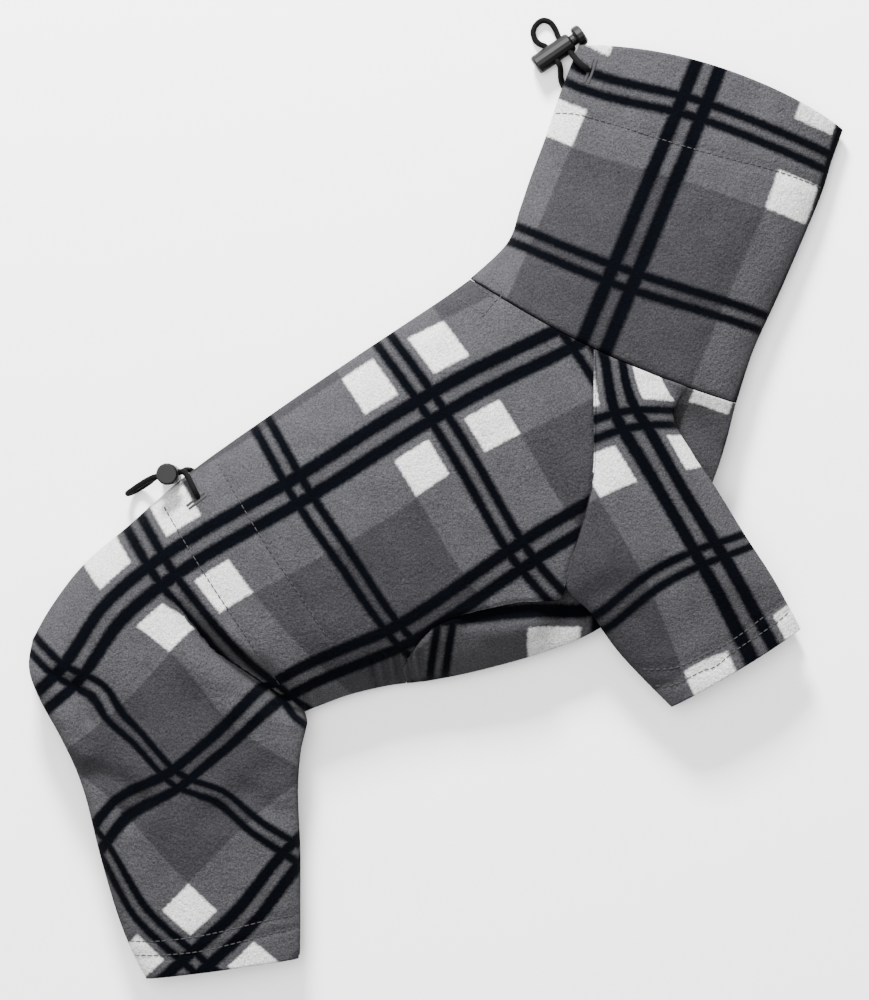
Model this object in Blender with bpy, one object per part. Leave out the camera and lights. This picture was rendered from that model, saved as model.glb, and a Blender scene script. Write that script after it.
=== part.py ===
# A plaid fleece suit for a small dog, lying flat on its left side, the neck at the upper right.
# Metres, +Z up from the surface that it lies on, +X towards the chest, +Y towards the nape.
# The origin is the middle of the suit's outline, on that surface.

import math

import bmesh
import bpy
from mathutils import Matrix, Vector

# Cloth
WALL = 0.002
SEAM_GAP = 0.0003
LAYER_GAP = 0.0005
ARMHOLE_MARGIN = 0.0015
ARMHOLE_DEPTH = 0.0036

# Torso, from the rump to the nape and from the back to the belly
BACK_LENGTH = 0.254
BODY_DEPTH = 0.150
BODY_HEIGHT = 0.030
BACK_ANGLE = 39.5
CHEST_HEIGHT = 0.0086
CHEST_STEP = 0.012
CHEST_FADE = 0.020

# Neck tube
NECK_LENGTH = 0.130
NECK_WIDTH = 0.124
NECK_HEIGHT = 0.022
NECK_ANGLE = 67.7
NECK_SEAM_BOW = 0.0057
NECK_HEM_BOW = 0.0085

# Front sleeves
SLEEVE_LENGTH = 0.152
SLEEVE_WIDTH = 0.068
SLEEVE_HEIGHT = 0.0105
SLEEVE_ANGLE = -59.6
RAGLAN_BOW = 0.006
SHOULDER_POINT = (1.084, 0.405)

# Hind legs
LEG_LENGTH = 0.109
LEG_WIDTH = 0.090
LEG_HEIGHT = 0.0135
LEG_ANGLE = -79.0

# Elastic cords, their buttonholes and their locks
CORD_DIAMETER = 0.0026
CORD_CLEARANCE = 0.0005
CORD_STEP = 0.0035
BUTTONHOLE_LENGTH = 0.0105
BUTTONHOLE_WIDTH = 0.0050
LOCK_DIAMETER = 0.0090
LOCK_BARREL_LENGTH = 0.0195
LOCK_BEVEL = 0.0008
LOCK_HOLE_PITCH = 0.0072
LOCK_HOLE_INSET = 0.0033
LOCK_STEM_DIAMETER = 0.0052
LOCK_STEM_LENGTH = 0.0022
LOCK_BUTTON_DIAMETER = 0.0098
LOCK_BUTTON_LENGTH = 0.0040
LOCK_SIDES = 16

# How far past its underside a tube's round would reach, cut off flat there, as a share
FLAT_REST = 1.03

# Mesh density
RING_POINTS = 20
ROW_STEPS = 2

# Each row of a tube is a section between its two folded edges. Their places are shares of the
# piece's length and width, the thickness is a share of the piece's height, and a fold's height is
# a share of that thickness. An upper layer lies on the one beneath, so no row says how high.
TORSO_ROWS = [
    # back_along, back_across, belly_along, belly_across, thick, back_fold, belly_fold
    (0.000, 0.000, 0.288, 0.663, 0.94, 0.42, 0.42),
    (0.060, -0.044, 0.324, 0.702, 0.97, 0.34, 0.36),
    (0.147, -0.079, 0.371, 0.732, 1.00, 0.26, 0.30),
    (0.252, -0.084, 0.433, 0.784, 1.00, 0.24, 0.28),
    (0.404, -0.090, 0.495, 0.851, 1.00, 0.24, 0.30),
    (0.594, -0.067, 0.580, 0.926, 1.00, 0.24, 0.38),
    (0.755, -0.042, 0.689, 1.004, 1.00, 0.24, 0.48),
    (0.857, -0.024, 0.790, 1.050, 1.00, 0.24, 0.52),
    (0.918, -0.013, 0.941, 1.053, 0.98, 0.24, 0.52),
    (0.960, -0.007, 1.105, 0.924, 0.95, 0.24, 0.48),
    (1.000, -0.003, 1.222, 0.792, 0.92, 0.24, 0.42),
]
NECK_ROWS = [
    # nape_along, nape_across, throat_along, throat_across, thick, nape_fold, throat_fold
    (0.164, 0.075, 0.144, 1.048, 1.20, 0.28, 0.40),
    (0.293, 0.071, 0.350, 1.057, 1.10, 0.30, 0.36),
    (0.410, 0.063, 0.569, 1.062, 1.02, 0.32, 0.34),
    (0.555, 0.058, 0.738, 1.063, 0.96, 0.34, 0.34),
    (0.717, 0.047, 0.860, 1.052, 0.88, 0.36, 0.34),
    (0.893, 0.044, 0.970, 1.048, 0.80, 0.36, 0.34),
]
SHOULDER_ROWS = [
    # front_along, front_across, lift, thick, back_fold, front_fold; the back edge is the raglan seam
    (0.215, -0.470, 1.0, 0.72, 0.90, 0.40),
    (0.273, -0.240, 1.0, 0.92, 0.92, 0.40),
    (0.401, -0.219, 1.0, 1.00, 0.90, 0.40),
    (0.515, -0.237, 1.0, 1.00, 0.72, 0.38),
    (0.680, -0.245, 1.0, 1.00, 0.45, 0.36),
]
SLEEVE_ROWS = [
    # back_along, back_across, front_along, front_across, lift, thick, back_fold, front_fold
    (0.655, 0.880, 0.821, -0.262, 0.75, 1.00, 0.36, 0.36),
    (0.811, 0.842, 0.915, -0.258, 0.30, 1.02, 0.36, 0.36),
    (1.017, 0.741, 1.011, -0.254, 0.02, 1.04, 0.36, 0.36),
]
LEG_ROWS = [
    # rear_along, rear_across, front_along, front_across, thick, rear_fold, front_fold
    (-0.514, 1.157, -0.150, -0.010, 0.78, 0.34, 0.34),
    (-0.375, 1.185, -0.040, -0.012, 0.94, 0.34, 0.34),
    (-0.240, 1.262, 0.036, -0.022, 1.02, 0.34, 0.34),
    (-0.036, 1.176, 0.156, 0.050, 1.06, 0.34, 0.34),
    (0.164, 1.132, 0.337, 0.100, 1.06, 0.34, 0.34),
    (0.426, 1.115, 0.583, 0.142, 1.02, 0.34, 0.34),
    (0.683, 1.088, 0.806, 0.195, 0.96, 0.34, 0.34),
    (0.857, 1.050, 0.927, 0.223, 0.92, 0.34, 0.34),
    (0.972, 1.008, 1.010, 0.245, 0.90, 0.34, 0.34),
]

# How much further back the lower hind leg lies at the rump, in each row of LEG_ROWS, as a share of
# the leg's width: a strip of it shows there
LOWER_LEG_SET_BACK = (0.03, 0.105, 0.01, 0.0, 0.0, 0.0, 0.0, 0.0, 0.0)

# The raglan seam, from the neck to the armpit, and the side seam, from the armpit to the belly
RAGLAN_SEAM = [
    # along, across
    (1.100, 0.374),
    (1.018, 0.543),
    (0.946, 0.683),
    (0.870, 0.779),
    (0.783, 0.872),
]
SIDE_SEAM = [
    # along, across
    (0.758, 0.890),
    (0.695, 0.826),
    (0.597, 0.744),
    (0.525, 0.733),
    (0.476, 0.743),
    (0.440, 0.765),
]

# The armhole's front edge, under the sleeve, from the neck to the armpit
ARMHOLE_FRONT = [
    # along, across
    (1.180, 0.660),
    (1.100, 0.720),
    (1.000, 0.800),
    (0.900, 0.870),
    (0.815, 0.905),
]

# Main folds of the upper layer: a groove, or a ridge where the depth is negative
TORSO_FOLDS = [
    # from_along, from_across, to_along, to_across, depth, half_width
    (0.140, 0.330, 0.290, 0.660, 0.0050, 0.0110),
    (0.020, 0.150, 0.140, 0.330, 0.0025, 0.0120),
    (0.560, 0.740, 0.740, 0.880, 0.0025, 0.0080),
    (0.440, 0.690, 0.560, 0.740, 0.0020, 0.0070),
]
LEG_FOLDS = [
    # from_along, from_across, to_along, to_across, depth, half_width
    (0.110, 1.150, 0.200, 0.900, 0.0030, 0.0090),
    (0.000, 1.080, 0.090, 0.860, -0.0016, 0.0080),
    (0.300, 0.200, 0.180, 0.640, 0.0018, 0.0110),
]
SLEEVE_FOLDS = [
    # from_along, from_across, to_along, to_across, depth, half_width
    (0.170, -0.300, 0.240, -0.120, 0.0022, 0.0060),
    (0.560, 0.800, 0.720, 0.300, 0.0012, 0.0090),
]

# Buttonholes where a cord enters the cloth: one on the upper layer and one beneath
NECK_BUTTONHOLES = [
    # along, across, turn, on_upper_layer
    (0.820, 0.119, 70.0, True),
    (0.735, 0.064, 70.0, False),
]
WAIST_BUTTONHOLES = [
    # along, across, turn, on_upper_layer
    (0.383, -0.008, 36.0, True),
    (0.400, -0.046, 36.0, False),
]

# Locks: the near end of the one that lies by the neck, and the foot of the one that stands behind
# the waist, with the way that each points and that its cord runs
NECK_LOCK_END = (0.772, -0.074)
NECK_LOCK_TURN = 34.6
NECK_LOCK_ROLL = 30.0
WAIST_LOCK_FOOT = (0.370, -0.124)
WAIST_LOCK_TURN = 11.5

# The elastic cords' routes, each from the buttonhole through its lock, round the loop and back.
# Their places are metres from the foot of the lock that they run through.
NECK_CORD_ROUTE = [
    # right of the lock, behind it, above the surface
    (0.0256, -0.0063, 0.0070),
    (0.0249, -0.0045, 0.0099),
    (0.0235, -0.0029, 0.0130),
    (0.0215, -0.0015, 0.0140),
    (0.0190, 0.0009, 0.0129),
    (0.0172, 0.0034, 0.0104),
    (0.0160, 0.0054, 0.0076),
    (0.0133, 0.0092, 0.0049),
    (0.0107, 0.0130, 0.0022),
    (0.0091, 0.0169, 0.0016),
    (0.0067, 0.0201, 0.0015),
    (0.0035, 0.0210, 0.0015),
    (0.0006, 0.0192, 0.0015),
    (-0.0010, 0.0158, 0.0015),
    (-0.0001, 0.0124, 0.0016),
    (0.0019, 0.0103, 0.0018),
    (0.0048, 0.0089, 0.0022),
    (0.0074, 0.0051, 0.0049),
    (0.0101, 0.0013, 0.0076),
    (0.0112, -0.0011, 0.0066),
    (0.0114, -0.0040, 0.0042),
    (0.0118, -0.0067, 0.0022),
    (0.0130, -0.0092, 0.0024),
    (0.0148, -0.0110, 0.0044),
    (0.0166, -0.0121, 0.0076),
]
WAIST_CORD_ROUTE = [
    # right of the lock, behind it, above the surface
    (0.0142, -0.0134, 0.0146),
    (0.0136, -0.0107, 0.0193),
    (0.0122, -0.0078, 0.0212),
    (0.0106, -0.0046, 0.0201),
    (0.0088, -0.0012, 0.0180),
    (0.0073, 0.0006, 0.0168),
    (0.0055, 0.0011, 0.0162),
    (0.0000, 0.0000, 0.0162),
    (-0.0055, -0.0011, 0.0162),
    (-0.0089, -0.0024, 0.0153),
    (-0.0125, -0.0044, 0.0126),
    (-0.0164, -0.0069, 0.0099),
    (-0.0191, -0.0087, 0.0062),
    (-0.0168, -0.0078, 0.0023),
    (-0.0130, -0.0057, 0.0022),
    (-0.0094, -0.0035, 0.0054),
    (-0.0074, -0.0020, 0.0082),
    (-0.0055, -0.0011, 0.0090),
    (0.0000, 0.0000, 0.0090),
    (0.0055, 0.0011, 0.0090),
    (0.0072, 0.0020, 0.0063),
    (0.0093, 0.0017, 0.0035),
    (0.0111, 0.0001, 0.0016),
    (0.0135, -0.0032, 0.0022),
    (0.0147, -0.0054, 0.0074),
]

CLOTH_COLOUR = (0.16, 0.16, 0.18, 1.0)
CHEST_COLOUR = (0.12, 0.12, 0.13, 1.0)
CORD_COLOUR = (0.012, 0.012, 0.014, 1.0)
LOCK_COLOUR = (0.020, 0.020, 0.022, 1.0)


class Plan:
    """A flat frame on the surface: a corner and a direction, with a length and width for shares."""

    def __init__(self, corner, angle, length, width):
        turn = math.radians(angle)
        self.corner = corner
        self.along = Vector((math.cos(turn), math.sin(turn)))
        self.across = Vector((math.sin(turn), -math.cos(turn)))
        self.length = length
        self.width = width

    def point(self, along, across):
        step = self.along * (along * self.length) + self.across * (across * self.width)
        return self.corner + step


def smooth_rows(rows, steps=ROW_STEPS):
    """The given rows with more between them, on a smooth curve through them."""
    out = []
    last = len(rows) - 1
    for i in range(last):
        before, here = rows[max(i - 1, 0)], rows[i]
        after, beyond = rows[i + 1], rows[min(i + 2, last)]
        for k in range(steps):
            t = k / steps
            out.append(tuple(
                b + 0.5 * t * (c - a + t * (2 * a - 5 * b + 4 * c - d + t * (3 * b - a - 3 * c + d)))
                for a, b, c, d in zip(before, here, after, beyond)))
    out.append(tuple(rows[last]))
    return out


def smooth_step(value):
    value = min(max(value, 0.0), 1.0)
    return value * value * (3 - 2 * value)


def fold_depth(point, folds):
    """How far the folds of the upper layer push it down at a point of the plan."""
    depth = 0.0
    for start, end, deep, half in folds:
        span = end - start
        share = min(max((point - start).dot(span) / span.length_squared, 0.0), 1.0)
        reach = (point - start - span * share).length / half
        depth += deep * math.exp(-reach * reach)
    return depth


def placed_folds(plan, table):
    return [(plan.point(a, b), plan.point(c, d), deep, half) for a, b, c, d, deep, half in table]


# A placed section is a tuple: first edge x and y, second edge x and y, bow, underside, thickness,
# and the heights of the first and second fold above the underside as shares of the thickness.

def section(first, second, under, thick, fold_first, fold_second, bow=0.0):
    return (first.x, first.y, second.x, second.y, bow, under, thick, fold_first, fold_second)


def ring(row, inset, folds=(), squeeze=None):
    """One section's loop, from its first fold over the top to the second and back beneath."""
    first, second = Vector(row[0:2]), Vector(row[2:4])
    bow, under, thick, fold_first, fold_second = row[4:]
    middle = (first + second) / 2
    half = (second - first) / 2
    sideways = Vector((-half.y, half.x)).normalized()
    reach = half.length - inset
    points = []
    for k in range(RING_POINTS):
        angle = 2 * math.pi * k / RING_POINTS
        cosine, sine = math.cos(angle), math.sin(angle)
        share = -math.copysign(abs(cosine) ** 0.86, cosine)
        flat = middle + half.normalized() * (share * reach) + sideways * (bow * (1 - share * share))
        low, high = under, under + thick
        level = low + thick * (fold_first + (fold_second - fold_first) * (share + 1) / 2)
        if squeeze:
            low, level, high = squeeze(flat, low, level, high)
        if sine >= 0:
            top = max(high - inset - fold_depth(flat, folds), level)
            height = level + (top - level) * sine ** 1.05
        else:
            bottom = min(low + inset, level)
            height = level - (level - bottom) * min((-sine) ** 0.55 * FLAT_REST, 1.0)
        points.append(Vector((flat.x, flat.y, height)))
    return points


def loft(name, rings):
    """A closed solid through rings of equally many points, with flat ends."""
    mesh = bmesh.new()
    loops = [[mesh.verts.new(p) for p in points] for points in rings]
    count = len(rings[0])
    for loop, following in zip(loops, loops[1:]):
        for k in range(count):
            after = (k + 1) % count
            mesh.faces.new((loop[k], loop[after], following[after], following[k]))
    ends = [mesh.faces.new(list(reversed(loops[0]))), mesh.faces.new(loops[-1])]
    bmesh.ops.triangulate(mesh, faces=ends)
    bmesh.ops.recalc_face_normals(mesh, faces=mesh.faces)
    return new_object(name, mesh)


def tube(name, rows, inset=0.0, reach=(0.0, 0.0), **shape):
    """A filled tube through placed sections. reach moves its first and last section outwards."""
    rings = [ring(row, inset, **shape) for row in rows]
    for end, inner, distance in ((0, 1, reach[0]), (-1, -2, reach[1])):
        if distance:
            outward = rings[end][0] + rings[end][RING_POINTS // 2]
            outward -= rings[inner][0] + rings[inner][RING_POINTS // 2]
            outward.z = 0
            rings[end] = [p + outward.normalized() * distance for p in rings[end]]
    return loft(name, rings)


def new_object(name, mesh):
    data = bpy.data.meshes.new(name)
    mesh.to_mesh(data)
    mesh.free()
    obj = bpy.data.objects.new(name, data)
    bpy.context.scene.collection.objects.link(obj)
    return obj


def combine(obj, other, operation):
    """Adds or cuts another solid, which stays as a hidden helper."""
    other.hide_render = True
    other.display_type = "WIRE"
    modifier = obj.modifiers.new(other.name, "BOOLEAN")
    modifier.operation = operation
    modifier.object = other


def prism(name, outline, low, high):
    """An upright block over an outline of the plan."""
    rings = [[Vector((p.x, p.y, z)) for p in outline] for z in (low, high)]
    return loft(name, rings)


def material(name, colour, roughness):
    mat = bpy.data.materials.new(name)
    mat.use_nodes = True
    shader = mat.node_tree.nodes["Principled BSDF"]
    shader.inputs["Base Color"].default_value = colour
    shader.inputs["Roughness"].default_value = roughness
    shader.inputs["Metallic"].default_value = 0.0
    return mat


def torso_rows(back):
    rows = []
    for a, b, c, d, thick, fold_back, fold_belly in TORSO_ROWS:
        rows.append(section(back.point(a, b), back.point(c, d), 0.0, thick * BODY_HEIGHT,
                            fold_back, fold_belly))
    rows[-1] = rows[-1][:4] + (-NECK_SEAM_BOW,) + rows[-1][5:]
    return smooth_rows(rows)


def chest_squeeze(back):
    """The torso is thin in front of the raglan seams, where the sleeves lie above and beneath it."""
    top, armpit = back.point(*RAGLAN_SEAM[0]), back.point(*RAGLAN_SEAM[-1])
    down = armpit - top
    front = Vector((-down.y, down.x)).normalized()
    nape, throat = back.point(*TORSO_ROWS[-1][0:2]), back.point(*TORSO_ROWS[-1][2:4])
    collar = (throat - nape).normalized()
    low_chest = SLEEVE_HEIGHT + LAYER_GAP

    def squeeze(flat, low, level, high):
        share = (flat - top).dot(down) / down.length_squared
        bulge = RAGLAN_BOW * 4 * share * (1 - share) if 0 < share < 1 else 0.0
        start = -CHEST_STEP * smooth_step(share)
        amount = smooth_step(((flat - top).dot(front) - bulge - start) / CHEST_STEP)
        from_collar = (nape - flat).dot(Vector((collar.y, -collar.x)))
        amount *= smooth_step(abs(from_collar) / CHEST_FADE)
        chest = (low_chest, low_chest + CHEST_HEIGHT / 2, low_chest + CHEST_HEIGHT)
        return [old + (new - old) * amount for old, new in zip((low, level, high), chest)]

    return squeeze


def neck_rows(neck, collar_row):
    rows = [collar_row]
    for a, b, c, d, thick, fold_nape, fold_throat in NECK_ROWS:
        rows.append(section(neck.point(a, b), neck.point(c, d), 0.0, thick * NECK_HEIGHT,
                            fold_nape, fold_throat))
    rows[-1] = rows[-1][:4] + (NECK_HEM_BOW,) + rows[-1][5:]
    return smooth_rows(rows)


def sleeve_rows(back, sleeve, upper):
    """A raglan sleeve's sections. The lower sleeve lies on the surface, turned over."""
    seam = [back.point(*place) for place in RAGLAN_SEAM]
    table = [(edge, sleeve.point(*row[0:2])) + row[2:] for edge, row in zip(seam, SHOULDER_ROWS)]
    table += [(sleeve.point(*row[0:2]), sleeve.point(*row[2:4])) + row[4:] for row in SLEEVE_ROWS]
    rows = []
    for first, second, lift, thick, fold_back, fold_front in table:
        height = thick * SLEEVE_HEIGHT
        if upper:
            rest = height + LAYER_GAP
            stack = SLEEVE_HEIGHT + CHEST_HEIGHT + 2 * LAYER_GAP
            rows.append(section(first, second, rest + (stack - rest) * lift, height,
                                fold_back, fold_front))
        else:
            rows.append(section(first, second, 0.0, height, 1 - fold_back, 1 - fold_front))
    return smooth_rows(rows)


def leg_rows(leg, upper):
    rows = []
    for (a, b, c, d, thick, fold_rear, fold_front), set_back in zip(LEG_ROWS, LOWER_LEG_SET_BACK):
        height = thick * LEG_HEIGHT
        if upper:
            rows.append(section(leg.point(a, b), leg.point(c, d), height + LAYER_GAP, height,
                                fold_rear, fold_front))
        else:
            rows.append(section(leg.point(a, b + set_back), leg.point(c, d), 0.0, height,
                                fold_rear, fold_front))
    return smooth_rows(rows)


def buttonhole(name, plan, along, across, turn, on_upper_layer, level, height):
    """The cutter of one slit, through the upper layer or the one beneath."""
    centre = plan.point(along, across)
    low, high = (level, height) if on_upper_layer else (-WALL, level)
    way = Vector((math.cos(math.radians(turn)), math.sin(math.radians(turn))))
    side = Vector((-way.y, way.x))
    corners = [centre + way * (i * BUTTONHOLE_LENGTH / 2) + side * (j * BUTTONHOLE_WIDTH / 2)
               for i, j in ((-1, -1), (1, -1), (1, 1), (-1, 1))]
    return prism(name, corners, low, high)


def lock_matrix(place, axis, strand):
    """Turns a lock from standing on the origin, its cord along X, to its place."""
    axis = axis.normalized()
    strand = (strand - axis * strand.dot(axis)).normalized()
    turn = Matrix((strand, axis.cross(strand), axis)).transposed()
    return Matrix.Translation(place) @ turn.to_4x4()


def turned(name, profile):
    """A round piece about Z from a profile of radius and height, from its foot to its top."""
    rings = []
    for radius, height in profile:
        rings.append([Vector((radius * math.cos(2 * math.pi * k / LOCK_SIDES),
                              radius * math.sin(2 * math.pi * k / LOCK_SIDES), height))
                      for k in range(LOCK_SIDES)])
    return loft(name, rings)


def cord_lock(prefix, matrix, mat):
    """A barrel with a hole for each strand, and the button that its spring pushes out."""
    edge, radius = LOCK_BEVEL, LOCK_DIAMETER / 2
    barrel = turned(prefix + "_barrel", [(radius - edge, 0), (radius, edge),
                                         (radius, LOCK_BARREL_LENGTH - edge),
                                         (radius - edge, LOCK_BARREL_LENGTH)])
    hole_radius = CORD_DIAMETER / 2 + CORD_CLEARANCE
    for number in range(2):
        level = LOCK_BARREL_LENGTH - LOCK_HOLE_INSET - number * LOCK_HOLE_PITCH
        hole = turned(f"{prefix}_hole_{number}", [(hole_radius, -LOCK_DIAMETER),
                                                  (hole_radius, LOCK_DIAMETER)])
        hole.data.transform(Matrix.Translation((0, 0, level)) @ Matrix.Rotation(math.pi / 2, 4, "Y"))
        hole.matrix_world = matrix
        combine(barrel, hole, "DIFFERENCE")
    foot = LOCK_BARREL_LENGTH + SEAM_GAP
    neck_top = foot + LOCK_STEM_LENGTH
    stem, disc = LOCK_STEM_DIAMETER / 2, LOCK_BUTTON_DIAMETER / 2
    button = turned(prefix + "_button", [(stem, foot), (stem, neck_top), (disc - edge, neck_top),
                                         (disc, neck_top + edge),
                                         (disc, neck_top + LOCK_BUTTON_LENGTH - edge),
                                         (disc - edge, neck_top + LOCK_BUTTON_LENGTH)])
    for piece in (barrel, button):
        piece.matrix_world = matrix
        finish(piece, mat)


def cord(name, lock, route, mat):
    """A round elastic cord on a smooth curve through its route's points."""
    fine = [Vector(p) + lock.to_3d() for p in smooth_rows(route, 12)]
    points, travelled = [fine[0]], 0.0
    for before, here in zip(fine, fine[1:]):
        travelled += (here - before).length
        if travelled >= CORD_STEP:
            points.append(here)
            travelled = 0.0
    if travelled > CORD_STEP / 2:
        points.append(fine[-1])
    else:
        points[-1] = fine[-1]
    curve = bpy.data.curves.new(name, "CURVE")
    curve.dimensions = "3D"
    curve.bevel_depth = CORD_DIAMETER / 2
    curve.bevel_resolution = 2
    curve.use_fill_caps = True
    spline = curve.splines.new("POLY")
    spline.points.add(len(points) - 1)
    for target, point in zip(spline.points, points):
        target.co = (*point, 1.0)
    obj = bpy.data.objects.new(name, curve)
    bpy.context.scene.collection.objects.link(obj)
    curve.materials.append(mat)
    return obj


def finish(obj, mat):
    obj.data.materials.append(mat)
    obj.data.shade_smooth()


def outline_middle(*tubes):
    """The middle of the outline of all the tubes, from their folded edges."""
    edges = [Vector(row[i:i + 2]) for rows in tubes for row in rows for i in (0, 2)]
    low = Vector((min(p.x for p in edges), min(p.y for p in edges)))
    high = Vector((max(p.x for p in edges), max(p.y for p in edges)))
    return (low + high) / 2


def layout(rump):
    """All the pieces' plans and rows, with the rump at the given place."""
    back = Plan(rump, BACK_ANGLE, BACK_LENGTH, BODY_DEPTH)
    torso = torso_rows(back)
    collar = torso[-1]
    nape, throat = Vector(collar[0:2]), Vector(collar[2:4])
    lift = Vector((nape.y - throat.y, throat.x - nape.x)).normalized() * SEAM_GAP
    collar = section(nape + lift, throat + lift, *collar[5:], bow=-NECK_SEAM_BOW)
    neck = Plan(nape, NECK_ANGLE, NECK_LENGTH, NECK_WIDTH)
    sleeve = Plan(back.point(*SHOULDER_POINT), SLEEVE_ANGLE, SLEEVE_LENGTH, SLEEVE_WIDTH)
    leg = Plan(Vector(torso[0][2:4]), LEG_ANGLE, LEG_LENGTH, LEG_WIDTH)
    rows = {
        "torso": torso,
        "neck": neck_rows(neck, collar),
        "sleeve_right": sleeve_rows(back, sleeve, True),
        "sleeve_left": sleeve_rows(back, sleeve, False),
        "leg_right": leg_rows(leg, True),
        "leg_left": leg_rows(leg, False),
    }
    return {"back": back, "neck": neck, "sleeve": sleeve, "leg": leg}, rows


def add_body(plans, rows, squeeze, seam, mat):
    """The back panel and both hind legs, one cloth, cut along the raglan and side seams."""
    back, leg = plans["back"], plans["leg"]
    torso_folds = placed_folds(back, TORSO_FOLDS)
    leg_folds = placed_folds(leg, LEG_FOLDS)
    body = tube("body", rows["torso"], folds=torso_folds, squeeze=squeeze)
    before_seam = [point - shift for point, shift in zip(seam, seam_shifts(seam))]
    beyond = [back.point(2.0, 1.6), back.point(2.0, 0.0)]
    combine(body, prism("chest_side", before_seam + beyond, -WALL, 2 * BODY_HEIGHT), "DIFFERENCE")
    for side, folds in (("right", leg_folds), ("left", ())):
        combine(body, tube(f"leg_{side}_outside", rows[f"leg_{side}"], folds=folds), "UNION")
    hollow = tube("torso_inside", rows["torso"], WALL, (2 * WALL, WALL), folds=torso_folds,
                  squeeze=squeeze)
    combine(body, hollow, "DIFFERENCE")
    for side, folds in (("right", leg_folds), ("left", ())):
        combine(body, tube(f"leg_{side}_inside", rows[f"leg_{side}"], WALL, (0.0, 2 * WALL),
                           folds=folds), "DIFFERENCE")
    for number, hole in enumerate(WAIST_BUTTONHOLES):
        combine(body, buttonhole(f"waist_buttonhole_{number}", back, *hole, 0.3 * BODY_HEIGHT,
                                 2 * BODY_HEIGHT), "DIFFERENCE")
    finish(body, mat)
    return hollow


def add_chest(plans, rows, squeeze, seam, armhole, hollow, mat):
    """The chest panel: the rest of the torso's cloth, with the armholes cut out of it."""
    back = plans["back"]
    chest = tube("chest_panel", rows["torso"], folds=placed_folds(back, TORSO_FOLDS),
                 squeeze=squeeze)
    beyond = [back.point(-0.6, 1.6), back.point(-0.6, -0.6), back.point(1.6, -0.6)]
    combine(chest, prism("back_side", seam + beyond, -WALL, 2 * BODY_HEIGHT), "DIFFERENCE")
    combine(chest, hollow, "DIFFERENCE")
    combine(chest, prism("armhole", armhole, -WALL, 2 * BODY_HEIGHT), "DIFFERENCE")
    finish(chest, mat)


def seam_shifts(seam):
    """Steps of one seam gap square to a seam, to its left as it runs."""
    shifts = []
    for i in range(len(seam)):
        run = seam[min(i + 1, len(seam) - 1)] - seam[max(i - 1, 0)]
        shifts.append(Vector((-run.y, run.x)).normalized() * SEAM_GAP)
    return shifts


def add_sleeve(name, rows, armhole, neck_side, folds, upper, mat):
    """A front sleeve, open at its cuff and through the armhole."""
    sleeve = tube(name, rows, folds=folds)
    combine(sleeve, tube(name + "_inside", rows, WALL, (WALL, 2 * WALL), folds=folds), "DIFFERENCE")
    under, height = rows[0][5:7]
    top = under + height
    span = (under, under + ARMHOLE_DEPTH) if upper else (top - ARMHOLE_DEPTH, BODY_HEIGHT)
    combine(sleeve, prism(name + "_armhole", armhole, *span), "DIFFERENCE")
    combine(sleeve, neck_side, "DIFFERENCE")
    finish(sleeve, mat)


def add_neck(plans, rows, mat):
    """The neck tube, with its two buttonholes."""
    neck = tube("neck", rows["neck"])
    combine(neck, tube("neck_inside", rows["neck"], WALL, (2 * WALL, 2 * WALL)), "DIFFERENCE")
    for number, hole in enumerate(NECK_BUTTONHOLES):
        combine(neck, buttonhole(f"neck_buttonhole_{number}", plans["neck"], *hole,
                                 0.3 * NECK_HEIGHT, 2 * NECK_HEIGHT), "DIFFERENCE")
    finish(neck, mat)


def add_locks(plans, plastic, elastic):
    """The neck's lock lies by the hem, and the waist's stands on its foot behind the back."""
    turn, roll = math.radians(NECK_LOCK_TURN), math.radians(NECK_LOCK_ROLL)
    place = plans["neck"].point(*NECK_LOCK_END).to_3d()
    place.z = LOCK_BUTTON_DIAMETER / 2
    axis = Vector((math.cos(turn), math.sin(turn), 0))
    strand = Vector((math.sin(turn) * math.cos(roll), -math.cos(turn) * math.cos(roll),
                     math.sin(roll)))
    cord_lock("neck_lock", lock_matrix(place, axis, strand), plastic)
    cord("neck_cord", place.xy, NECK_CORD_ROUTE, elastic)
    turn = math.radians(WAIST_LOCK_TURN)
    foot = plans["back"].point(*WAIST_LOCK_FOOT).to_3d()
    strand = Vector((math.cos(turn), math.sin(turn), 0))
    cord_lock("waist_lock", lock_matrix(foot, Vector((0, 0, 1)), strand), plastic)
    cord("waist_cord", foot.xy, WAIST_CORD_ROUTE, elastic)


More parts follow.
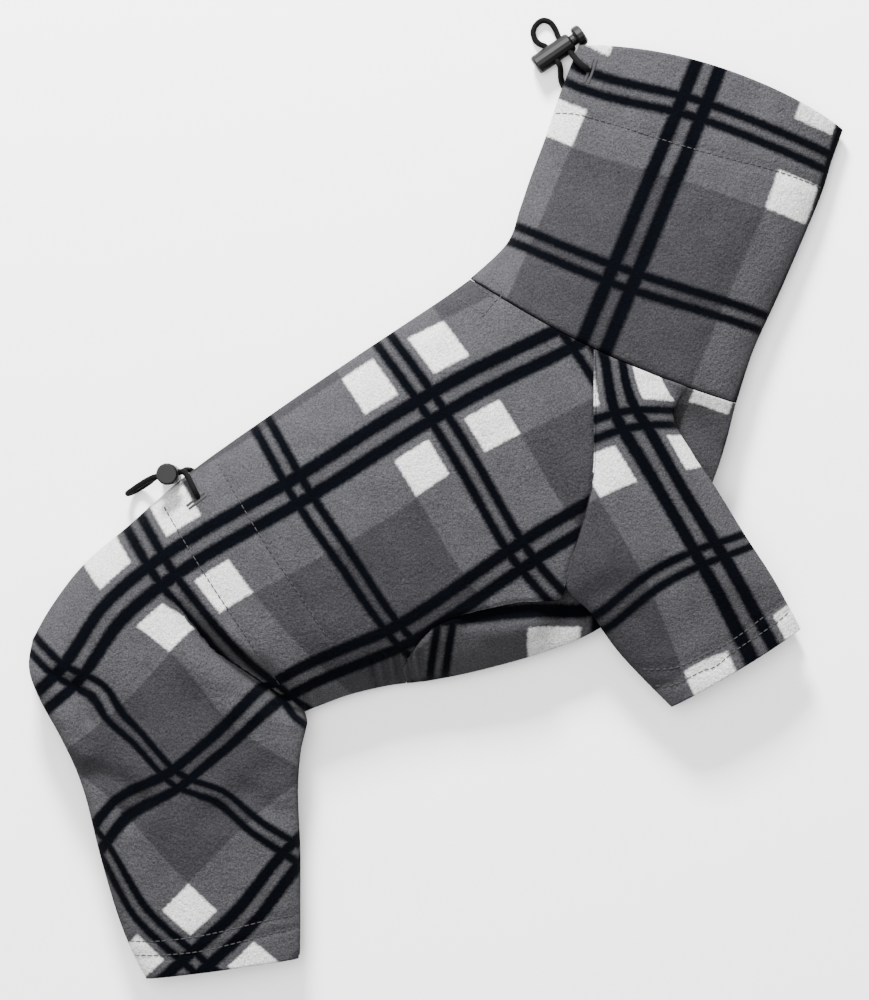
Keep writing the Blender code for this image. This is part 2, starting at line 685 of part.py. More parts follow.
def main():
    for obj in list(bpy.data.objects):
        bpy.data.objects.remove(obj)
    cloth = material("plaid_fleece", CLOTH_COLOUR, 0.95)
    dark_cloth = material("plaid_fleece_chest", CHEST_COLOUR, 0.95)
    elastic = material("elastic_cord", CORD_COLOUR, 0.8)
    plastic = material("black_plastic", LOCK_COLOUR, 0.35)

    rump = -outline_middle(*layout(Vector((0, 0)))[1].values())
    plans, rows = layout(rump)
    back = plans["back"]
    squeeze = chest_squeeze(back)
    shoulder = [Vector(row[0:2]) for row in rows["sleeve_right"]]
    raglan = shoulder[:ROW_STEPS * (len(RAGLAN_SEAM) - 1) + 1]
    side = [back.point(*place) for place in smooth_rows([RAGLAN_SEAM[-1]] + SIDE_SEAM)[1:]]
    above = raglan[0] + (raglan[0] - raglan[1])
    below = back.point(SIDE_SEAM[-1][0] - 0.03, 1.6)
    seam = [above] + raglan + side + [below]
    front = [back.point(*place) for place in smooth_rows(ARMHOLE_FRONT)]
    behind = [point - shift * ARMHOLE_MARGIN / SEAM_GAP
              for point, shift in zip([above] + raglan, seam_shifts([above] + raglan))]
    armhole = behind + list(reversed(front))

    sleeve_folds = {"sleeve_right": placed_folds(plans["sleeve"], SLEEVE_FOLDS), "sleeve_left": ()}
    hollow = add_body(plans, rows, squeeze, seam, cloth)
    add_chest(plans, rows, squeeze, seam, armhole, hollow, dark_cloth)
    collar = ring(rows["torso"][-1], 0.0)[:RING_POINTS // 2 + 1]
    above_collar = [plans["neck"].point(1.2, 1.5), plans["neck"].point(1.2, -0.5)]
    neck_side = prism("neck_side", collar + above_collar, -WALL, 2 * BODY_HEIGHT)
    for name, upper in (("sleeve_right", True), ("sleeve_left", False)):
        add_sleeve(name, rows[name], armhole, neck_side, sleeve_folds[name], upper, cloth)
    add_neck(plans, rows, cloth)
    add_locks(plans, plastic, elastic)


main()
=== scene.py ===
# The looks of a plaid fleece suit for a small dog, lying flat on its left side.
# Lengths in the tables are millimetres in the suit's own frame, and MM makes them metres. The
# stage and the cords' routes are in metres.

import math

import bmesh
import bpy
import numpy as np
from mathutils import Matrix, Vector, noise
from mathutils.bvhtree import BVHTree


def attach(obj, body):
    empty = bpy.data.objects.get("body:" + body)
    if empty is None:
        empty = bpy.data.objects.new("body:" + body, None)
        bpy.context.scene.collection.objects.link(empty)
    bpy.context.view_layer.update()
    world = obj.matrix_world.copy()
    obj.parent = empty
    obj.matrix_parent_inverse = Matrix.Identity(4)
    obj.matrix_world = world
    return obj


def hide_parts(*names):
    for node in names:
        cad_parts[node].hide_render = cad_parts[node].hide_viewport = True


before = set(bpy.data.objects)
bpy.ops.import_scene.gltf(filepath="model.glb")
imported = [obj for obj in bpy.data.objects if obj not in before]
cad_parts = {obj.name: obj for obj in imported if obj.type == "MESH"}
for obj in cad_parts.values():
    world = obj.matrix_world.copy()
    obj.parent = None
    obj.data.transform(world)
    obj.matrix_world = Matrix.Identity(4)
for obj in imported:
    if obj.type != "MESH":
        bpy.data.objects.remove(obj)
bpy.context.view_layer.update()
MM = 0.001


# The stage: a pale floor, a camera straight above the suit, and soft studio light. The camera
# sees the height of the photo, PHOTO_SPAN, at the level where the cloth's outline lies.
SENSOR_WIDTH = 36
CAMERA_HEIGHT = 1.6
PHOTO_MIDDLE = (-1.1, 4.7)
PHOTO_SPAN = 0.450
OUTLINE_LEVEL = 0.008
FLOOR_DROP = 0.0002
FLOOR_COLOUR = (0.95, 0.95, 0.95)
LIGHTS = [
    # name, place, size, power
    ("key", (-0.25, 1.3, 0.72), 0.3, 112),
    ("top", (-0.3, 0.2, 1.9), 1.2, 58),
]
WORLD_STRENGTH = 0.85

camera_data = bpy.data.cameras.new("camera")
camera_data.sensor_width = SENSOR_WIDTH
camera_data.lens = SENSOR_WIDTH / 2 * (CAMERA_HEIGHT - OUTLINE_LEVEL) / (PHOTO_SPAN / 2)
camera = bpy.data.objects.new("camera", camera_data)
camera.location = (PHOTO_MIDDLE[0] * MM, PHOTO_MIDDLE[1] * MM, CAMERA_HEIGHT)
bpy.context.scene.collection.objects.link(camera)
bpy.context.scene.camera = camera


def paint(name, colour, roughness):
    """A material of one colour, and its shader."""
    material = bpy.data.materials.new(name)
    material.use_nodes = True
    shader = material.node_tree.nodes["Principled BSDF"]
    shader.inputs["Base Color"].default_value = (*colour, 1)
    shader.inputs["Roughness"].default_value = roughness
    return material, shader


bpy.ops.object.select_all(action="DESELECT")
bpy.ops.mesh.primitive_plane_add(size=6, location=(0, 0, -FLOOR_DROP))
floor = bpy.context.object
floor.name = "floor"
floor.data.materials.append(paint("floor", FLOOR_COLOUR, 0.9)[0])

for name, place, size, power in LIGHTS:
    light_data = bpy.data.lights.new(name, "AREA")
    light_data.size = size
    light_data.energy = power
    light = bpy.data.objects.new(name, light_data)
    light.location = place
    light.rotation_euler = (-Vector(place)).to_track_quat("-Z", "Y").to_euler()
    bpy.context.scene.collection.objects.link(light)
world = bpy.data.worlds.new("studio")
world.use_nodes = True
world.node_tree.nodes["Background"].inputs["Color"].default_value = (1, 1, 1, 1)
world.node_tree.nodes["Background"].inputs["Strength"].default_value = WORLD_STRENGTH
bpy.context.scene.world = world


# The drawcords: two loops of round elastic cord with a braided cover, each threaded through a
# buttonhole, its lock and back. Their routes are metres in the suit's frame.
CORD_DIAMETER = 0.0026
CORD_BLACK = (0.0012, 0.0012, 0.0014)
BRAID_SCALE = 1800
BRAID_DEPTH = 0.0003
NECK_CORD_ROUTE = [
    (0.0700, 0.1941, 0.0070),
    (0.0693, 0.1959, 0.0099),
    (0.0679, 0.1975, 0.0130),
    (0.0659, 0.1989, 0.0140),
    (0.0634, 0.2013, 0.0129),
    (0.0616, 0.2038, 0.0104),
    (0.0604, 0.2058, 0.0076),
    (0.0577, 0.2096, 0.0049),
    (0.0551, 0.2134, 0.0022),
    (0.0535, 0.2173, 0.0016),
    (0.0511, 0.2205, 0.0015),
    (0.0479, 0.2214, 0.0015),
    (0.0450, 0.2196, 0.0015),
    (0.0434, 0.2162, 0.0015),
    (0.0443, 0.2128, 0.0016),
    (0.0463, 0.2107, 0.0018),
    (0.0492, 0.2093, 0.0022),
    (0.0518, 0.2055, 0.0049),
    (0.0545, 0.2017, 0.0076),
    (0.0556, 0.1993, 0.0066),
    (0.0558, 0.1964, 0.0042),
    (0.0562, 0.1937, 0.0022),
    (0.0574, 0.1912, 0.0024),
    (0.0592, 0.1894, 0.0044),
    (0.0610, 0.1883, 0.0076),
]
WAIST_CORD_ROUTE = [
    (-0.1060, 0.0029, 0.0146),
    (-0.1066, 0.0056, 0.0193),
    (-0.1080, 0.0085, 0.0212),
    (-0.1096, 0.0117, 0.0201),
    (-0.1114, 0.0151, 0.0180),
    (-0.1129, 0.0169, 0.0168),
    (-0.1147, 0.0174, 0.0162),
    (-0.1202, 0.0163, 0.0162),
    (-0.1257, 0.0152, 0.0162),
    (-0.1291, 0.0139, 0.0153),
    (-0.1327, 0.0119, 0.0126),
    (-0.1366, 0.0094, 0.0099),
    (-0.1393, 0.0076, 0.0062),
    (-0.1370, 0.0085, 0.0023),
    (-0.1332, 0.0106, 0.0022),
    (-0.1296, 0.0128, 0.0054),
    (-0.1276, 0.0143, 0.0082),
    (-0.1257, 0.0152, 0.0090),
    (-0.1202, 0.0163, 0.0090),
    (-0.1147, 0.0174, 0.0090),
    (-0.1130, 0.0183, 0.0063),
    (-0.1109, 0.0180, 0.0035),
    (-0.1091, 0.0164, 0.0016),
    (-0.1067, 0.0131, 0.0022),
    (-0.1055, 0.0109, 0.0074),
]


def smooth_rows(rows, steps):
    """The rows of a table with more between them, on a smooth curve through them."""
    rows = np.array(rows, float)
    last = len(rows) - 1
    out = []
    for i in range(last):
        a, b, c, d = rows[max(i - 1, 0)], rows[i], rows[i + 1], rows[min(i + 2, last)]
        count = steps if isinstance(steps, int) else steps[i]
        for t in np.arange(count) / count:
            out.append(b + 0.5 * t * (c - a + t * (2 * a - 5 * b + 4 * c - d
                                                   + t * (3 * b - a - 3 * c + d))))
    out.append(rows[last])
    return np.array(out)


def braid(material, shader):
    """The fine rise and fall of a braided cover, in Object coordinates."""
    nodes, links = material.node_tree.nodes, material.node_tree.links
    place = nodes.new("ShaderNodeTexCoord")
    weave = nodes.new("ShaderNodeTexVoronoi")
    weave.inputs["Scale"].default_value = BRAID_SCALE
    links.new(place.outputs["Object"], weave.inputs["Vector"])
    bump = nodes.new("ShaderNodeBump")
    bump.inputs["Strength"].default_value = 0.9
    bump.inputs["Distance"].default_value = BRAID_DEPTH
    links.new(weave.outputs["Distance"], bump.inputs["Height"])
    links.new(bump.outputs["Normal"], shader.inputs["Normal"])


elastic, elastic_shader = paint("elastic_cord", CORD_BLACK, 0.8)
elastic_shader.inputs["Specular IOR Level"].default_value = 0.08
braid(elastic, elastic_shader)


def cord(name, route, node):
    """One elastic loop along its route, which carries its lock."""
    points = smooth_rows(route, 4)
    curve = bpy.data.curves.new(name, "CURVE")
    curve.dimensions = "3D"
    curve.bevel_depth = CORD_DIAMETER / 2
    curve.bevel_resolution = 5
    curve.use_fill_caps = True
    spline = curve.splines.new("POLY")
    spline.points.add(len(points) - 1)
    for target, point in zip(spline.points, points):
        target.co = (*point, 1.0)
    curve.materials.append(elastic)
    piece = bpy.data.objects.new(name, curve)
    bpy.context.scene.collection.objects.link(piece)
    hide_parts(node)
    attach(piece, "root")


cord("neck_drawcord", NECK_CORD_ROUTE, "neck_cord")
cord("waist_drawcord", WAIST_CORD_ROUTE, "waist_cord")


# The cord locks: a moulded black plastic barrel and its button, pressed on the cord by a spring.
# They keep the shapes of the CAD and slide along the cords.
PLASTIC_BLACK = (0.0012, 0.0012, 0.0014)
plastic, plastic_shader = paint("black_plastic", PLASTIC_BLACK, 0.45)
plastic_shader.inputs["Specular IOR Level"].default_value = 0.16
for name in ("neck_lock_barrel", "neck_lock_button", "waist_lock_barrel", "waist_lock_button"):
    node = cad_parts[name]
    node.data.materials.clear()
    node.data.materials.append(plastic)


# The cloth: grey polar fleece, about 280 g for each square metre, with a printed plaid of double
# black stripes, white squares and dark squares. It is drawn in each piece's UV map, in repeats.
# A pair is the distance of its stripes' middles from its own, and half a stripe's width.
CLOTH_WALL = 0.0017
REPEAT_ALONG = 67.5
REPEAT_ACROSS = 79.0
NARROW_PAIR = (3.7, 2.15)
WIDE_PAIR = (5.2, 3.1)
PAIR_GAP_TONE = 0.85
STRIPE_SOFT = 1.15
SQUARE_SOFT = 0.8
WHITE_ALONG = (9.0, 25.7)
WHITE_ACROSS = (12.0, 30.2)
DARK_ALONG = 25.7
DARK_ACROSS = 31.0
MEDIUM_GREY = (0.034, 0.0338, 0.0366)
DARK_GREY = (0.0205, 0.0202, 0.0225)
WHITE = (0.40, 0.405, 0.395)
STRIPE_NAVY = (0.0005, 0.0008, 0.0017)
# painted shade: the chest panel's colour is darkened all over for the shade it lies in between the
# sleeves and under the side seams
CHEST_SHADE = 0.72
PILE_SCALE = 620
PILE_HEIGHT = 0.0009
PILE_WANDER = 0.02
WHOLE_REPEATS = 20
HEATHER_SCALE = 1500
HEATHER_TONE = (2.2, -0.1)
CLOUD_SCALE = 90
CLOUD_TONE = (0.5, 0.75)


def calc(tree, operation, *values):
    """A Math node on sockets or numbers."""
    node = tree.nodes.new("ShaderNodeMath")
    node.operation = operation
    for socket, value in zip(node.inputs, values):
        if isinstance(value, (int, float)):
            socket.default_value = value
        else:
            tree.links.new(value, socket)
    return node.outputs[0]


def step(tree, value, edge, soft, falling=False):
    """0 to 1 over an edge of the print, as soft as its pile."""
    node = tree.nodes.new("ShaderNodeMapRange")
    node.interpolation_type = "SMOOTHSTEP"
    tree.links.new(value, node.inputs["Value"])
    node.inputs["From Min"].default_value = edge - soft
    node.inputs["From Max"].default_value = edge + soft
    node.inputs["To Min"].default_value = 1.0 if falling else 0.0
    node.inputs["To Max"].default_value = 0.0 if falling else 1.0
    return node.outputs["Result"]


def mix(tree, share, under, over):
    """One colour over another by a share."""
    node = tree.nodes.new("ShaderNodeMix")
    node.data_type = "RGBA"
    for socket, value in ((node.inputs["Factor"], share), (node.inputs["A"], under),
                          (node.inputs["B"], over)):
        if isinstance(value, tuple):
            socket.default_value = (*value, 1)
        else:
            tree.links.new(value, socket)
    return node.outputs["Result"]


def mottle(tree, place, scale, detail):
    """Noise over the cloth's surface."""
    node = tree.nodes.new("ShaderNodeTexNoise")
    node.inputs["Scale"].default_value = scale
    node.inputs["Detail"].default_value = detail
    node.inputs["Roughness"].default_value = 0.6
    tree.links.new(place, node.inputs["Vector"])
    return node


def fleece(name, shade, turned=False):
    """The plaid fleece. shade darkens a whole panel's colour as painted shade, and turned swaps
    the wide pairs.
    """
    material, shader = paint(name, MEDIUM_GREY, 0.95)
    shader.inputs["Sheen Weight"].default_value = 0.01
    shader.inputs["Sheen Roughness"].default_value = 0.6
    shader.inputs["Specular IOR Level"].default_value = 0.01
    tree = material.node_tree
    place = tree.nodes.new("ShaderNodeTexCoord")
    print_map = tree.nodes.new("ShaderNodeUVMap")
    print_map.uv_map = "print"
    pile = mottle(tree, place.outputs["Object"], PILE_SCALE, 3)
    apart = tree.nodes.new("ShaderNodeSeparateXYZ")
    tree.links.new(print_map.outputs["UV"], apart.inputs[0])
    wander = tree.nodes.new("ShaderNodeSeparateColor")
    tree.links.new(pile.outputs["Color"], wander.inputs[0])

    def axis(way, repeat, pair):
        """One way's stripes, the gap in their pair, and the distance from every second pair."""
        middle, half = pair
        shift = calc(tree, "MULTIPLY_ADD", wander.outputs[way], PILE_WANDER,
                     WHOLE_REPEATS - PILE_WANDER / 2)
        value = calc(tree, "ADD", apart.outputs[way], shift)
        near = calc(tree, "MULTIPLY", calc(tree, "PINGPONG", value, 0.5), repeat)
        off = calc(tree, "ABSOLUTE", calc(tree, "SUBTRACT", near, middle))
        return (step(tree, off, half, STRIPE_SOFT, falling=True),
                step(tree, near, middle, STRIPE_SOFT, falling=True),
                calc(tree, "MULTIPLY", calc(tree, "PINGPONG", value, 1.0), repeat))

    pairs = (WIDE_PAIR, NARROW_PAIR) if turned else (NARROW_PAIR, WIDE_PAIR)
    stripe_along, gap_along, along = axis(0, REPEAT_ALONG, pairs[0])
    stripe_across, gap_across, across = axis(1, REPEAT_ACROSS, pairs[1])

    def band(value, low, high):
        """1 between two distances."""
        return calc(tree, "MULTIPLY", step(tree, value, low, SQUARE_SOFT),
                    step(tree, value, high, SQUARE_SOFT, falling=True))

    white = calc(tree, "MULTIPLY", band(along, *WHITE_ALONG), band(across, *WHITE_ACROSS))
    dark = calc(tree, "MULTIPLY", step(tree, along, DARK_ALONG, SQUARE_SOFT),
                step(tree, across, DARK_ACROSS, SQUARE_SOFT))
    stripe = calc(tree, "MAXIMUM", stripe_along, stripe_across)
    gap = calc(tree, "MAXIMUM", gap_along, gap_across)
    cloth = mix(tree, dark, MEDIUM_GREY, DARK_GREY)
    cloth = mix(tree, white, cloth, WHITE)
    cloth = mix(tree, stripe, cloth, STRIPE_NAVY)
    heather = mottle(tree, place.outputs["Object"], HEATHER_SCALE, 2)
    clouds = mottle(tree, place.outputs["Object"], CLOUD_SCALE, 3)
    tone = calc(tree, "MULTIPLY_ADD", heather.outputs["Fac"], *HEATHER_TONE)
    cloudy = calc(tree, "MULTIPLY_ADD", clouds.outputs["Fac"], *CLOUD_TONE)
    tone = calc(tree, "MULTIPLY", tone, cloudy)
    tone = calc(tree, "MULTIPLY", tone, shade)
    tone = calc(tree, "MULTIPLY", tone, calc(tree, "MULTIPLY_ADD", gap, PAIR_GAP_TONE - 1, 1))
    toned = tree.nodes.new("ShaderNodeVectorMath")
    toned.operation = "SCALE"
    tree.links.new(cloth, toned.inputs[0])
    tree.links.new(tone, toned.inputs["Scale"])
    tree.links.new(toned.outputs[0], shader.inputs["Base Color"])
    bump = tree.nodes.new("ShaderNodeBump")
    bump.inputs["Strength"].default_value = 0.8
    bump.inputs["Distance"].default_value = PILE_HEIGHT
    tree.links.new(pile.outputs["Fac"], bump.inputs["Height"])
    tree.links.new(bump.outputs["Normal"], shader.inputs["Normal"])
    return material


plaid = fleece("plaid_fleece", 1.0)
# a shaded copy of the plaid for the chest panel, its darkness painted shade
plaid_painted_shade = fleece("plaid_fleece_chest", CHEST_SHADE)
plaid_turned = fleece("plaid_fleece_neck", 1.0, turned=True)


# The body: the back panel, folded along the back, runs on into both hind legs as one cloth. It
# is cut along the raglan and side seams and hemmed at the legs, which lie one on the other.
TORSO_TABLE = [
    # back_x, back_y, belly_x, belly_y, bow, top, back_fold, belly_fold
    (14.8, 104.0, 134.2, 47.9, -5.7, 27.6, 6.6, 11.6),
    (6.6, 98.0, 123.9, 13.7, 0.0, 28.5, 6.8, 13.7),
    (-2.2, 92.0, 104.0, -27.7, 0.0, 29.4, 7.1, 15.3),
    (-15.2, 83.4, 74.2, -51.8, 0.0, 30.0, 7.2, 15.6),
    (-36.9, 69.0, 50.0, -62.8, 0.0, 30.0, 7.2, 14.4),
    (-70.8, 45.9, 21.2, -71.3, 0.0, 30.0, 7.2, 11.4),
    (-110.3, 17.8, -2.7, -76.4, 0.0, 30.0, 7.2, 9.0),
    (-139.5, -7.4, -21.2, -78.7, 0.0, 30.0, 7.2, 8.4),
    (-159.6, -25.0, -38.3, -82.6, 0.0, 30.0, 8.0, 9.0),
    (-173.3, -43.1, -50.4, -86.8, 0.0, 29.1, 10.0, 10.5),
    (-181.5, -57.9, -59.4, -90.2, 0.0, 28.2, 12.5, 13.0),
]
LEG_TABLE = [
    # rear_x, rear_y, front_x, front_y, bow, leg_height
    (-181.5, -57.9, -59.4, -90.2, 0.0, 13.6),
    (-182.6, -70.0, -58.4, -95.0, 0.0, 13.7),
    (-177.6, -84.1, -59.5, -100.5, 0.0, 13.8),
    (-166.3, -104.4, -61.6, -110.6, 0.0, 14.3),
    (-157.8, -125.1, -62.6, -127.8, 0.0, 14.3),
    (-150.8, -152.8, -61.6, -152.9, 0.0, 13.8),
    (-143.1, -179.8, -61.6, -177.7, 0.0, 13.0),
    (-136.1, -197.8, -61.6, -191.1, 0.0, 12.4),
    (-130.0, -209.4, -61.8, -200.3, 0.0, 12.1),
]
LEG_GAP = 0.5
LEG_FOLD = 0.36
LEG_BLEND_ROWS = 9
RAGLAN_SEAM = [
    # x, y
    (70.2, 76.7),
    (70.5, 58.7),
    (70.2, 44.0),
    (69.8, 15.6),
    (67.1, 3.3),
    (63.8, -8.8),
    (59.9, -22.3),
    (57.2, -32.2),
]
SIDE_SEAM = [
    # x, y
    (57.2, -32.2),
    (55.4, -39.0),
    (46.1, -40.4),
    (34.5, -41.2),
    (15.1, -45.5),
    (1.8, -49.8),
    (-5.4, -55.6),
    (-11.2, -62.8),
    (-15.7, -70.9),
]
BODY_CROSSINGS = [
    # x, y, repeats_along, repeats_across: where the print's stripes cross
    (60.8, 78.5, 3, 0),
    (-2.2, 46.1, 2, 0),
    (-61.6, 9.2, 1, 0),
    (-122.4, -26.8, 0, 0),
    (-147.1, -48.4, -0.48, 0),
    (-164.2, -74.5, -1, 0),
    (37.4, -20.1, 2, 1),
    (-16.6, -56.1, 1, 1),
    (-72.0, -81.7, 0, 1),
    (-116.5, -120.4, -1, 1),
    (-151.6, -146.5, -2, 1),
    (-62.5, -152.4, -1, 2),
    (-107.5, -201.4, -2, 2),
    (-23.4, 75.8, 2, -0.43),
    (-78.3, 38.4, 1, -0.42),
    (-133.6, -8.8, 0, -0.28),
    (-149.8, -80.8, -1, 0.22),
    (-146.2, -91.2, -1, 0.385),
    (-132.7, -102.9, -1, 0.655),
    (-140.8, -132.1, -1.6, 1),
    (-96.7, -126.7, -1, 1.33),
    (-81.4, -140.2, -1, 1.65),
    (-84.1, -179.8, -1.5, 2),
    (-133.6, -177.6, -2, 1.5),
    (-94.0, -102.0, -0.45, 1),
    (-39.1, -23.7, 1, 0.5),
    (17.6, 13.7, 2, 0.5),
]
ROW_PITCH = 2.1
SHEET_COLUMNS = 84
FLAT_REST = 1.03
FOLD_POWER = 2.33
TOP_POWER = 0.525
UNDER_POWER = 0.275
LOW_LEG_POWER = 0.4
PRINT_SLACK = 40.0
SWELLS = (38, 15)
SEAM_RUN_ON = 8
SEAM_LAP = 0.0016
CLOSED = 0.999


def table_rows(table):
    """The table's rows about ROW_PITCH apart, on smooth curves."""
    table = np.array(table, float)
    far = np.maximum(np.hypot(*np.diff(table[:, 0:2], axis=0).T),
                     np.hypot(*np.diff(table[:, 2:4], axis=0).T))
    return smooth_rows(table, [max(2, int(round(d / ROW_PITCH))) for d in far])


def across_row(row, share):
    """Plan places at shares from -1, the first fold, to 1, the second."""
    first, second, bow = row[0:2], row[2:4], row[4]
    half = (second - first) / 2
    sideways = np.array((-half[1], half[0])) / np.hypot(*half)
    bowed = np.outer(bow * (1 - share ** 2), sideways)
    return (first + second) / 2 + np.outer(share, half) + bowed


def round_over(share):
    """The cloth's round over a fold: 0 at the folds and 1 in the middle."""
    return 1 - np.minimum(np.abs(share), 1) ** FOLD_POWER


def fold_level(share, first_fold, second_fold):
    """The height between the two folds of a row."""
    return first_fold + (second_fold - first_fold) * (share + 1) / 2


def upper_height(share, top, first_fold, second_fold):
    level = fold_level(share, first_fold, second_fold)
    return level + (top - level) * round_over(share) ** TOP_POWER


def under_height(share, first_fold, second_fold):
    """The cloth beneath, which lies on the floor but for its round at the folds."""
    level = fold_level(share, first_fold, second_fold)
    return level - level * np.minimum(round_over(share) ** UNDER_POWER * FLAT_REST, 1)


def ease(share):
    return share * share * (3 - 2 * share)


def within(points, outline):
    """Which plan places lie inside an outline."""
    inside = np.zeros(len(points), bool)
    for (ax, ay), (bx, by) in zip(outline, np.roll(outline, -1, axis=0)):
        crosses = (points[:, 1] < ay) != (points[:, 1] < by)
        if ay != by:
            inside ^= crosses & (points[:, 0] < ax + (points[:, 1] - ay) / (by - ay) * (bx - ax))
    return inside


def off_line(points, line):
    """Plan places' distances from a line, how far along it they lie, and the line's length."""
    line = np.asarray(line, float)
    best = np.full(len(points), 1e9)
    along = np.zeros(len(points))
    travelled = 0.0
    for a, b in zip(line, line[1:]):
        span = b - a
        share = np.clip((points - a) @ span / (span @ span), 0, 1)
        away = np.hypot(*(points - a - np.outer(share, span)).T)
        near = away < best
        best = np.where(near, away, best)
        length = np.hypot(*span)
        along = np.where(near, travelled + share * length, along)
        travelled += length
    return best, along, travelled


def spread(crossings):
    """The print's map over the plan, bent smoothly through the crossings of its stripes."""
    crossings = np.array(crossings, float)
    places, repeats = crossings[:, 0:2], crossings[:, 2:4]

    def bend(away):
        return away ** 2 * np.log(away + 1e-9)

    apart = np.hypot(*(places[:, None] - places[None]).transpose(2, 0, 1))
    count = len(places)
    flat = np.column_stack((np.ones(count), places))
    table = np.zeros((count + 3, count + 3))
    table[:count, :count] = bend(apart) + PRINT_SLACK * np.eye(count)
    table[:count, count:] = flat
    table[count:, :count] = flat.T
    weights = np.linalg.solve(table, np.vstack((repeats, np.zeros((3, 2)))))

    def repeats_at(points):
        apart = np.hypot(*(points[:, None] - places[None]).transpose(2, 0, 1))
        flat = np.column_stack((np.ones(len(points)), points))
        return bend(apart) @ weights[:count] + flat @ weights[count:]

    return repeats_at


class Cloth:
    """A piece of cloth, gathered as sheets of places that share their edges."""

    def __init__(self, name, print_map):
        self.name = name
        self.print_map = print_map
        self.places = []
        self.faces = []
        self.count = 0

    def sheet(self, plan, height, faces_up, keep=None):
        """One sheet: plan is rows by columns by 2, height rows by columns, in millimetres."""
        rows, columns = height.shape
        self.places.append(np.dstack((plan, height)).reshape(-1, 3))
        run, side = plan[1:, :-1] - plan[:-1, :-1], plan[:-1, 1:] - plan[:-1, :-1]
        turns_up = np.sum(run[..., 0] * side[..., 1] - run[..., 1] * side[..., 0]) > 0
        index = np.arange(rows * columns).reshape(rows, columns) + self.count
        corners = [index[:-1, :-1], index[1:, :-1], index[1:, 1:], index[:-1, 1:]]
        if turns_up != faces_up:
            corners.reverse()
        quads = np.stack(corners, axis=-1).reshape(-1, 4)
        if keep is not None:
            quads = quads[keep.reshape(-1)]
        self.faces.append(quads)
        self.count += rows * columns

    def sew(self, material):
        """Joins the sheets, gives the cloth its wall inwards, and returns the piece."""
        places = np.concatenate(self.places)
        mesh = bpy.data.meshes.new(self.name)
        mesh.from_pydata((places * MM).tolist(), [], np.concatenate(self.faces).tolist())
        work = bmesh.new()
        work.from_mesh(mesh)
        bmesh.ops.remove_doubles(work, verts=work.verts, dist=0.00002)
        bmesh.ops.delete(work, geom=[v for v in work.verts if not v.link_faces], context="VERTS")
        work.to_mesh(mesh)
        work.free()
        piece = bpy.data.objects.new(self.name, mesh)
        bpy.context.scene.collection.objects.link(piece)
        spots = np.empty(len(mesh.vertices) * 3)
        mesh.vertices.foreach_get("co", spots)
        repeats = self.print_map(spots.reshape(-1, 3)[:, 0:2] / MM)
        corner = np.empty(len(mesh.loops), int)
        mesh.loops.foreach_get("vertex_index", corner)
        layer = mesh.uv_layers.new(name="print")
        layer.data.foreach_set("uv", repeats[corner].astype(np.float32).ravel())
        mesh.materials.append(material)
        mesh.shade_smooth()
        thicken = piece.modifiers.new("wall", "SOLIDIFY")
        thicken.thickness = CLOTH_WALL
        thicken.offset = -1
        thicken.thickness_clamp = 0.9
        bpy.ops.object.select_all(action="DESELECT")
        piece.select_set(True)
        bpy.context.view_layer.objects.active = piece
        bpy.ops.object.modifier_apply(modifier=thicken.name)
        return piece


def creased(plan, height, creases):
    """Lowers a sheet along creases: a line, a depth and a half width, fading at both ends."""
    points = plan.reshape(-1, 2)
    drop = np.zeros(len(points))
    for line, depth, half, fade in creases:
        away, along, whole = off_line(points, line)
        ends = np.clip(np.minimum(along, whole - along) / fade, 0, 1) if fade else 1.0
        drop += depth * np.exp(-(away / half) ** 2) * ease(ends)
    return height - drop.reshape(height.shape)


def softened(plan, height, depth, seed):
    """Fleece never lies quite flat: a low, slow rise and fall."""
    points = plan.reshape(-1, 2)
    long, short = SWELLS
    rise = [noise.noise(Vector((x / long, y / long, seed)))
            + 0.5 * noise.noise(Vector((x / short, y / short, seed))) for x, y in points]
    return height + depth * np.array(rise).reshape(height.shape)


THREAD = 0.0005
STITCH_PITCH = 2.9
STITCH_LENGTH = 2.45
STITCH_RINGS = [
    # share, lift, width: the thread dips into the cloth at both ends of a stitch
    (-0.5, -0.25, 0.55),
    (-0.3, 0.25, 1),
    (0.3, 0.25, 1),
    (0.5, -0.25, 0.55),
]
THREAD_SIDES = 6
SATIN_PITCH = 0.42
SATIN_OFFSET = 0.85
SATIN_LENGTH = 1.3
THREAD_GREY = (0.006, 0.006, 0.008)
thread = paint("dark_thread", THREAD_GREY, 0.7)[0]


def dense(line, pitch):
    """Places a pitch apart along a line in the plan, with the way that the line runs there."""
    line = np.array(line, float)
    smooth = smooth_rows(line, 8) if len(line) > 2 else line
    lengths = np.hypot(*np.diff(smooth, axis=0).T)
    far = np.concatenate(([0], np.cumsum(lengths)))
    at = np.arange(pitch / 2, far[-1], pitch)
    places = np.column_stack([np.interp(at, far, smooth[:, k]) for k in (0, 1)])
    ahead = np.column_stack([np.interp(at + 0.2, far, smooth[:, k]) for k in (0, 1)])
    behind = np.column_stack([np.interp(at - 0.2, far, smooth[:, k]) for k in (0, 1)])
    ways = ahead - behind
    return places, ways / np.hypot(*ways.T)[:, None]


